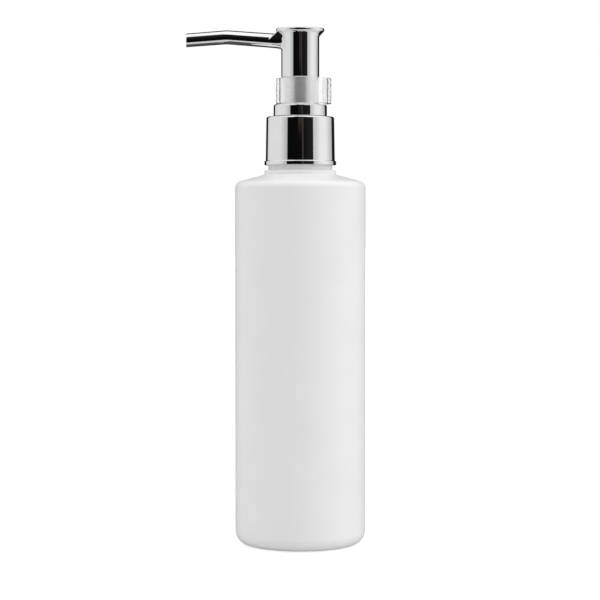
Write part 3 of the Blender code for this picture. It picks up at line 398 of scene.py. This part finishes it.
def make_bottle():
    """Blow-moulded bottle, 52 mm across, with a groove in its base, support ring, bead and neck."""
    slope = math.tan(math.radians(15.0))
    cone_top = 147.536
    body, ring, bead, neck, bore = 26.05, 14.3, 12.7, NECK_RADIUS, 9.65
    groove, groove_half, axis, wall, floor = 15.5, 0.8, 0.02, 1.2, 1.6
    under_cone, under_shoulder = 1.35, 1.0
    ring_top, bead_top = cone_top + 1.7, cone_top + 4.0
    shoulder = cone_top - (body - ring) * slope
    inner_top = cone_top - (bore - ring) * slope - under_cone
    corners = [
        (axis, 0.0, 0.001, 1), (groove - groove_half, 0.0, 0.35, 4), (groove, 0.5, 0.5, 6),
        (groove + groove_half, 0.0, 0.35, 4), (body, 0.0, 5.2, 20), (body, shoulder, 2.9, 16),
        (ring, cone_top, 0.25, 5), (ring, ring_top, 0.5, 8), (bead, ring_top, 0.2, 4),
        (bead, bead_top, 0.3, 5), (neck, bead_top, 0.25, 4), (neck, NECK_LIP, 0.3, 5),
        (bore, NECK_LIP, 0.3, 5), (bore, inner_top, 0.6, 5), (body - wall, shoulder - under_shoulder, 1.6, 8),
        (body - wall, floor, 4.0, 10), (axis, floor, 0.001, 1),
    ]
    piece = lathe("bottle_moulded", corners, 128)
    return finish_piece(piece, BOTTLE_WHITE, "bottle", "bottle_plastic", "bottle")


def make_neck_thread():
    """One and a half turns of thread, 8 to the inch, that fades into the neck at both ends."""
    pitch, turns, steps = 3.175, 1.5, 108
    below_lip, fade, sunk = 1.6, math.radians(30.0), 0.15
    bottom = NECK_LIP - below_lip - pitch * turns
    section = ((-0.3, -0.62), (0.0, -0.52), (0.45, -0.42), (0.9, -0.28), (1.0, -0.1),
               (1.0, 0.1), (0.9, 0.28), (0.45, 0.42), (0.0, 0.52), (-0.3, 0.62))
    points = []
    for step in range(steps + 1):
        angle = math.tau * turns * step / steps
        share = min(1.0, min(angle, math.tau * turns - angle) / fade)
        share = share * share * (3 - 2 * share)
        for out, rise in section:
            radius = NECK_RADIUS + (out * share - sunk * (1 - share) if out > 0 else out)
            height = bottom + pitch * angle / math.tau + rise
            points.append((radius * math.cos(angle), radius * math.sin(angle), height))
    rows, count = steps + 1, len(section)
    piece = mesh_object("neck_thread", points, swept_quads(rows, count) + end_caps(rows, count))
    return finish_piece(piece, BOTTLE_WHITE, "bottle", "bottle_plastic")


# Shells of the pump

def make_closure_shell():
    """Thin bright shell, drawn slightly tapered, with a rolled bead at its bottom."""
    hang = 0.3
    low, high = SHELL_LOW - hang, SHELL_HIGH
    bead, bead_top, foot, head, hole, under = 14.3, low + 1.6, 13.78, 13.5, 10.2, high - 0.4
    corners = [
        (13.4, low, 0.1, 2), (bead, low, 0.1, 3), (bead, bead_top, 0.25, 6), (foot, bead_top, 0.2, 6),
        (head, high, 0.75, 12), (hole, high, 0.1, 2), (hole, under, 0.1, 2), (13.1, under, 0.35, 4),
    ]
    piece = lathe("closure_shell_bright", corners, 128)
    return finish_piece(piece, BRIGHT_METAL, "closure", "bright_metal", "closure_shell")


def make_ring():
    """Bright ring on the tower, with a soft top edge turned in to the sleeve."""
    low, high = RING_LOW, RING_HIGH
    inner, hole, under = 10.2, 7.5, high - 0.45
    corners = [
        (inner, low, 0.08, 2), (10.65, low, 0.12, 3), (10.6, high, 0.8, 12), (hole, high, 0.2, 4),
        (hole, under, 0.1, 2), (inner, under, 0.1, 2),
    ]
    piece = lathe("chaplet_ring_bright", corners, 128)
    return finish_piece(piece, BRIGHT_METAL, "pump", "bright_metal", "chaplet_ring")


def make_sleeve():
    """Satin tube between ring and head. It runs on up to the head, over the core's rim."""
    inner, outer, up_to_head = 6.85, 7.25, 1.1
    low, high = SLEEVE_LOW, SLEEVE_HIGH + up_to_head
    corners = [(inner, low, 0.1, 2), (outer, low, 0.15, 3), (outer, high, 0.12, 3), (inner, high, 0.1, 2)]
    piece = lathe("sleeve_satin", corners, 96)
    return finish_piece(piece, SATIN_METAL, "head", "satin_metal", "sleeve")


# Head, spout and web: one field whose zero surface is the bright shell

TUBE_RADIUS, TUBE_BORE = 7.55, 6.75
PAD_LONG, PAD_WIDE = 9.6, 7.95
DISH_LONG, DISH_WIDE, DISH_DEPTH = 8.8, 7.25, 1.6
SPOUT_RADIUS, SPOUT_BORE = 2.7, 1.9
SPOUT_START = HEAD_TOP - 5.76
SPOUT_UP, SPOUT_DOWN = math.tan(math.radians(4.2)), math.tan(math.radians(4.4))


def spout_height(reach):
    """Height of the spout's centreline at a distance from the axis."""
    bend, half = 29.3, 1.2
    past = np.clip(reach - (bend - half), 0.0, 2 * half)
    rise = np.where(reach > bend + half, bend * SPOUT_UP - (reach - bend) * SPOUT_DOWN,
                    reach * SPOUT_UP - (SPOUT_UP + SPOUT_DOWN) * past * past / (4 * half))
    return SPOUT_START + rise


def pad_field(x, y, z):
    """Oval pad that flares out under its rim and is dished on top."""
    rim_low, lean, dish_scale, least = HEAD_TOP - 1.15, 2.05 / 2.2, 0.94, 1e-6
    rim = np.hypot(x / PAD_LONG, y / PAD_WIDE)
    steep = np.hypot(x / PAD_LONG ** 2, y / PAD_WIDE ** 2) / np.maximum(rim, least)
    out = (rim - 1.0) / np.maximum(steep, least)
    cone = (out + (rim_low - z) * lean) / math.hypot(1.0, lean)
    pad = smooth_max(smooth_max(out, cone, 0.3), z - HEAD_TOP, 0.7)
    dish = HEAD_TOP - DISH_DEPTH + DISH_DEPTH * (x / DISH_LONG) ** 2 + DISH_DEPTH * (y / DISH_WIDE) ** 2
    return smooth_max(pad, (z - dish) * dish_scale, 0.3)


def web_field(y, z, reach, centre):
    """Web in the corner between the spout and the flare, a little wider than the spout."""
    near, far, half, start, sunk = 9.127, 12.9, 3.0, 6.9, 0.2
    top = HEAD_TOP - 1.2
    low = SPOUT_START + far * SPOUT_UP
    slope = np.array((far - near, top - low)) / math.hypot(far - near, top - low)
    above = (reach - near) * slope[1] + (z - top) * slope[0]
    web = smooth_max(np.abs(y) - half, above, 0.5)
    web = smooth_max(web, centre - sunk - z, 0.6)
    return np.maximum(web, np.maximum(start - reach, z - top))


def head_field(p):
    """The bright shell: negative inside its metal, in millimetres."""
    x, y, z = p[:, 0], p[:, 1], p[:, 2]
    tube_top, tube_roof = HEAD_TOP - 1.9, HEAD_TOP - 2.5
    taper, swell, swell_end, swell_length = 0.0045, 0.3, 11.5, 4.5
    tilted, bore_start = 0.9973, 6.0

    radius = np.hypot(x, y)
    tube = smooth_max(radius - TUBE_RADIUS, HEAD_BOTTOM - z, 0.3)
    tube = np.maximum(tube, z - tube_top)
    head = smooth_min(tube, pad_field(x, y, z), 0.45)

    reach = -x
    centre = spout_height(reach)
    across = np.hypot(y, (z - centre) * tilted)
    near_root = np.clip((swell_end - reach) / swell_length, 0.0, 1.0)
    thicker = taper * (SPOUT_REACH - reach) + swell * near_root ** 2
    ends = np.maximum(TUBE_BORE - reach, reach - SPOUT_REACH)
    spout = smooth_max(across - SPOUT_RADIUS - thicker, ends, 0.3)
    head = smooth_min(head, spout, 0.6)
    head = smooth_min(head, web_field(y, z, reach, centre), 0.12)

    hollow = np.maximum(radius - TUBE_BORE, z - tube_roof)
    head = smooth_max(head, -hollow, 0.15)
    bore = np.maximum(across - SPOUT_BORE, bore_start - reach)
    return smooth_max(head, -bore, 0.2)


def make_head():
    """Bright head: tube, oval dished pad, spout and web, with the fillets of one moulding."""
    room, right, side, cell = 0.6, 10.2, 8.6, 0.21
    low = (-SPOUT_REACH - room, -side, HEAD_BOTTOM - room)
    high = (right, side, HEAD_TOP + room)
    points, faces, normals = surface_nets(head_field, low, high, cell)
    piece = mesh_object("actuator_head_bright", points, [tuple(map(int, f)) for f in faces], normals)
    return finish_piece(piece, PLATED, "head", "bright_plating", "actuator_head")


def make_liner():
    """Plastic tube inside the spout, which shows at the tip."""
    sides, outer, inner = 32, 1.6, 1.05
    straight, bend = np.linspace(2.2, 26.0, 9), np.linspace(27.0, 32.0, 7)
    stations = [*straight, *bend, 38.0, SPOUT_REACH - 0.2]
    points = []
    for radius in (outer, inner):
        for reach in stations:
            height = float(spout_height(np.array(reach)))
            for side in range(sides):
                turn = math.tau * side / sides
                points.append((-reach, radius * math.cos(turn), height + radius * math.sin(turn)))
    rows = len(stations)
    inward = [(a, d, c, b) for a, b, c, d in swept_quads(rows, sides)]
    faces = [quad[::-1] for quad in inward] + [tuple(i + rows * sides for i in quad) for quad in inward]
    for row, flip in ((0, False), (rows - 1, True)):
        for side in range(sides):
            a, b = row * sides, (rows + row) * sides
            quad = (a + side, a + (side + 1) % sides, b + (side + 1) % sides, b + side)
            faces.append(quad if flip else quad[::-1])
    piece = mesh_object("spout_liner_tube", points, faces)
    piece.data.set_sharp_from_angle(angle=math.radians(40.0))
    return finish_piece(piece, NATURAL_PLASTIC, "head", "natural_plastic", "spout_liner")


# Lock clip

def make_clip():
    """Clear C ring with rounded edges, closed at the front and open at the back."""
    low, high = CLIP_LOW, CLIP_HIGH
    inner, outer, offset, opening = 9.3, 11.0, 1.35, 116.0
    steps, ends, tip, inset, corner = 88, 5, 0.03, 0.3, 0.15
    outline = rounded_outline([(inner, low, corner, 4), (outer, low, corner, 4),
                               (outer, high, corner, 4), (inner, high, corner, 4)])[0]
    start, end = math.radians(90 + opening / 2), math.radians(450 - opening / 2)
    middle = np.array(((inner + outer) / 2, (low + high) / 2))
    half = np.array(((outer - inner) / 2, (high - low) / 2))
    first = []
    for index in range(ends):
        turn = math.pi / 2 * index / ends
        first.append((start + tip * (1 - math.cos(turn)), -inset * (1 - math.sin(turn))))
    last = [(start + end - angle, change) for angle, change in reversed(first)]
    body = [(start + tip + (end - start - 2 * tip) * index / steps, 0.0) for index in range(steps + 1)]
    points = []
    for angle, change in first + body + last:
        for place in outline:
            r, z = middle + (place - middle) * (half + change) / half
            points.append((offset + r * math.cos(angle), r * math.sin(angle), z))
    rows, count = len(first) + len(body) + len(last), len(outline)
    piece = mesh_object("lock_clip_clear", points, swept_quads(rows, count) + end_caps(rows, count))
    weighted = piece.modifiers.new("even_shading", "WEIGHTED_NORMAL")
    weighted.keep_sharp = True
    return finish_piece(piece, CLEAR_PLASTIC, "clip", "clear_plastic", "lock_clip")


# Return spring

def make_spring():
    """Coil spring with closed end turns."""
    wire, radius, sides, per_turn = 0.4, 4.6, 12, 28
    turns, dead, dead_rise = 8.5, 1.0, 0.85
    low, high = SPRING_LOW + wire, SPRING_HIGH - wire
    length = high - low
    count = int(turns * per_turn)
    points = []
    for step in range(count + 1):
        turn = turns * step / count
        climb = np.interp(turn, [0, dead, turns - dead, turns], [0, dead_rise, length - dead_rise, length])
        angle = math.tau * turn
        out = Vector((math.cos(angle), math.sin(angle), 0.0))
        centre = out * radius + Vector((0, 0, low + climb))
        for side in range(sides):
            around = math.tau * side / sides
            offset = out * (math.cos(around) * wire) + Vector((0, 0, 1)) * (math.sin(around) * wire)
            points.append(tuple(centre + offset))
    faces = swept_quads(count + 1, sides) + end_caps(count + 1, sides)
    piece = mesh_object("spring_coil", points, faces)
    finish_piece(piece, STEEL, "pump", "steel", "spring")
    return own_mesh(piece)


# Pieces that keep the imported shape

CARRIED = {
    "gasket": FOAM, "closure": WHITE_PLASTIC, "chaplet": WHITE_PLASTIC, "housing": NATURAL_PLASTIC,
    "ball": STEEL, "piston": NATURAL_PLASTIC, "piston_rod": WHITE_PLASTIC, "stem": WHITE_PLASTIC,
    "dip_tube": NATURAL_PLASTIC, "actuator_core": NATURAL_PLASTIC,
}


def dress_carried():
    """Give the carried nodes their materials."""
    for name, made in CARRIED.items():
        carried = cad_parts[name]
        for place in carried.material_slots:
            place.material = made


# Studio

class Formula:
    """Arithmetic built as nodes of one shader tree."""

    def __init__(self, tree):
        self.nodes, self.links = tree.nodes, tree.links

    def math(self, operation, *values, clamp=False):
        made = self.nodes.new("ShaderNodeMath")
        made.operation = operation
        made.use_clamp = clamp
        for socket, value in zip(made.inputs, values):
            if isinstance(value, (int, float)):
                socket.default_value = value
            else:
                self.links.new(value, socket)
        return made.outputs[0]

    def product(self, first, *others):
        for value in others:
            first = self.math("MULTIPLY", first, value)
        return first

    def total(self, first, *parts):
        """The first value, plus each further value times its share."""
        for value, share in parts:
            first = self.math("ADD", first, self.product(value, share))
        return first

    def rest(self, value):
        """What the value leaves of 1."""
        return self.math("SUBTRACT", 1.0, value)

    def mix(self, factor, a, b):
        """a where the factor is 0, b where it is 1."""
        return self.math("ADD", self.product(a, self.rest(factor)), self.product(b, factor))

    def step(self, value, low, high):
        """0 at low and 1 at high, with a smooth rise between them."""
        made = self.nodes.new("ShaderNodeMapRange")
        made.interpolation_type = "SMOOTHSTEP"
        made.inputs["From Min"].default_value = low
        made.inputs["From Max"].default_value = high
        self.links.new(value, made.inputs["Value"])
        return made.outputs["Result"]

    def window(self, value, low, high, soft):
        """1 between low and high, fading to 0 outside them."""
        rise = self.step(value, low - soft, low + soft)
        fall = self.step(value, high - soft, high + soft)
        return self.math("SUBTRACT", rise, fall, clamp=True)


class Direction:
    """Where a ray goes, in degrees: azimuth 0 is the camera's side, and its right is positive."""

    def __init__(self, make):
        split = make.nodes.new("ShaderNodeSeparateXYZ")
        make.links.new(make.nodes.new("ShaderNodeTexCoord").outputs["Generated"], split.inputs[0])
        x, y, self.z = split.outputs
        degrees = 180.0 / math.pi
        self.front = make.product(y, -1.0)
        self.azimuth = make.product(make.math("ARCTAN2", x, self.front), degrees)
        self.level = make.product(make.math("ARCSINE", self.z), degrees)
        self.pitch = make.product(make.math("ARCTAN2", self.z, self.front), degrees)
        self.off = make.math("ABSOLUTE", self.azimuth)
        self.left = make.product(self.azimuth, -1.0)
        self.narrow = make.rest(make.step(make.math("ABSOLUTE", x), 0.25, 0.45))
        self.tilt = make.step(x, -0.05, -0.14)


def studio_behind(make, to, through):
    """Pale walls all round, with dark boards behind. Rays that end in clear plastic see white there."""
    walls = make.total(0.52, (make.step(to.left, 44.0, 74.0), 0.28),
                       (make.step(to.left, 112.0, 145.0), -0.08),
                       (make.step(to.azimuth, -10.0, 10.0), 0.1), (make.step(to.azimuth, 46.0, 76.0), 0.29),
                       (make.step(to.azimuth, 90.0, 130.0), -0.36))
    ceiling, ground = make.step(to.level, 30.0, 55.0), make.step(to.level, -34.0, -50.0)
    seen = make.mix(ground, make.mix(ceiling, walls, 1.12), 0.7)
    high_board = make.product(make.window(to.pitch, 112.0, 179.0, 5.0), to.narrow)
    seen = make.mix(high_board, seen, 0.06)
    low_board = make.window(make.total(to.pitch, (to.tilt, -14.0)), -152.0, -77.0, 4.0)
    seen = make.mix(make.product(low_board, to.narrow), seen, 0.075)
    seen = make.mix(make.product(make.step(to.off, 100.0, 125.0), through), seen, 1.0)
    back_board = make.math("ADD", make.step(to.left, 138.0, 142.0), make.step(to.azimuth, 129.0, 135.0))
    back_board = make.product(back_board, make.window(to.level, -45.0, 28.0, 5.0), make.rest(through))
    return make.mix(back_board, seen, 0.01)


def dark_front(make, to, through):
    """The dark room on the camera's side: how far a direction lies in it, and how bright it is there."""
    fade = make.product(to.tilt, to.narrow, make.step(to.z, 0.0, 0.15))
    reach = make.total(0.028, (fade, 0.3), (make.step(to.z, 0.3, 0.6), 0.045))
    corner = make.step(make.math("ABSOLUTE", to.level), 8.0, 30.0)
    corner = make.product(corner, make.step(to.off, 10.0, 32.0))
    limit = make.total(0.73, (reach, -1.0), (corner, 0.25), (through, 0.09))
    inside = make.step(make.math("DIVIDE", make.math("SUBTRACT", to.front, limit), reach), 0.0, 1.0)
    level = make.total(0.003, (make.step(to.azimuth, 0.0, 40.0), 0.012), (make.step(to.z, 0.05, 0.4), 0.009),
                       (through, 0.08))
    return inside, level


def warm_strip(make, to):
    """A thin warm line just right of the camera, with a wide and faint one above it."""
    line = make.window(to.azimuth, 6.4, 10.6, 0.9)
    wide = make.product(make.window(to.azimuth, -7.0, 6.0, 2.5), make.window(to.level, 4.15, 5.3, 0.3))
    gap = make.window(to.azimuth, -1.5, -0.35, 0.15)
    wide = make.product(wide, make.total(0.62, (gap, -0.5)))
    return make.product(make.math("MAXIMUM", line, wide), make.window(to.level, -4.0, 8.0, 3.0))


def seen_through(make, to, path, mirrored):
    """White behind the clip, with a grey line where light runs round inside its wall."""
    direct = make.math("SUBTRACT", 1.0, path["Glossy Depth"], clamp=True)
    in_wall = make.math("SUBTRACT", 3.0, path["Transmission Depth"], clamp=True)
    clear = make.product(make.math("MAXIMUM", direct, in_wall), path["Is Transmission Ray"])
    grey_line = make.product(make.window(to.off, 127.0, 142.0, 1.5), make.rest(direct))
    return make.mix(clear, mirrored, make.total(0.99, (grey_line, -0.8)))


def soft_light(make, to):
    """What lights everything that isn't a mirror: two side panels, a weak front and a bright top."""
    return make.total(0.17, (make.window(to.level, -14.0, 14.0, 4.0), 0.12),
                      (make.window(to.azimuth, -135.0, -78.0, 18.0), 0.59),
                      (make.window(to.azimuth, 44.0, 108.0, 18.0), 0.94),
                      (make.window(to.azimuth, -28.0, 30.0, 12.0), 0.14),
                      (make.math("MAXIMUM", to.z, 0.0), 1.04))


def make_world():
    """White studio. Mirrors and clear plastic see its boards, other surfaces its soft light."""
    world = bpy.data.worlds.new("studio")
    bpy.context.scene.world = world
    world.use_nodes = True
    world.node_tree.nodes.clear()
    make = Formula(world.node_tree)
    to = Direction(make)
    path = make.nodes.new("ShaderNodeLightPath").outputs
    through = path["Is Transmission Ray"]

    inside, level = dark_front(make, to, through)
    glow = make.product(warm_strip(make, to), inside)
    mirrored = make.total(make.mix(inside, studio_behind(make, to, through), level), (glow, 0.055))
    mirrored = seen_through(make, to, path, mirrored)
    sharp = make.math("MAXIMUM", path["Is Glossy Ray"], through)
    strength = make.mix(sharp, soft_light(make, to), mirrored)

    colour = make.nodes.new("ShaderNodeMix")
    colour.data_type = "RGBA"
    colour.inputs["A"].default_value = (1.0, 1.0, 1.0, 1.0)
    colour.inputs["B"].default_value = (1.0, 0.72, 0.6, 1.0)
    make.links.new(make.product(glow, sharp), colour.inputs["Factor"])
    emit = make.nodes.new("ShaderNodeBackground")
    make.links.new(colour.outputs["Result"], emit.inputs["Color"])
    make.links.new(make.math("MAXIMUM", strength, path["Is Camera Ray"]), emit.inputs["Strength"])
    out = make.nodes.new("ShaderNodeOutputWorld")
    make.links.new(emit.outputs[0], out.inputs["Surface"])


def make_floor():
    """Pale floor just under the bottle, which glows to white for the camera and keeps a faint shadow."""
    size, below = 6.0, 0.0002
    corners = [(-size, -size, 0), (size, -size, 0), (size, size, 0), (-size, size, 0)]
    mesh = bpy.data.meshes.new("floor")
    mesh.from_pydata(corners, [], [(0, 1, 2, 3)])
    floor = bpy.data.objects.new("floor", mesh)
    floor.location = (0.0, 0.0, -below)
    bpy.context.collection.objects.link(floor)
    made = bpy.data.materials.new("floor_white")
    made.use_nodes = True
    nodes = made.node_tree.nodes
    shader = nodes["Principled BSDF"]
    shader.inputs["Base Color"].default_value = (0.5, 0.5, 0.5, 1.0)
    shader.inputs["Roughness"].default_value = 0.9
    shader.inputs["Emission Color"].default_value = (1.0, 1.0, 1.0, 1.0)
    make = Formula(made.node_tree)
    path = nodes.new("ShaderNodeLightPath").outputs
    for_camera, always = 0.44, 0.23
    glow = make.math("MULTIPLY_ADD", path["Is Camera Ray"], for_camera, always)
    make.links.new(glow, shader.inputs["Emission Strength"])
    mesh.materials.append(made)
    floor.visible_glossy = False
    floor.visible_transmission = False


def make_camera():
    """Camera 0.8 m away, level with the pump's ring and tipped down about two degrees."""
    aside, distance, height, tip = -0.00011, 0.8, 0.1335, 0.03629
    data = bpy.data.cameras.new("camera")
    camera = bpy.data.objects.new("camera", data)
    bpy.context.collection.objects.link(camera)
    camera.location = (aside, -distance, height)
    camera.rotation_euler = (math.radians(90.0) - tip, 0.0, 0.0)
    data.sensor_width = 36.0
    data.lens = 120.16
    data.shift_y = -0.029
    data.clip_start = 0.01
    bpy.context.scene.camera = camera


make_world()
make_floor()
make_camera()
make_bottle()
make_neck_thread()
make_closure_shell()
make_ring()
make_sleeve()
make_head()
make_liner()
make_clip()
make_spring()
dress_carried()
bpy.context.scene.view_settings.view_transform = "Standard"
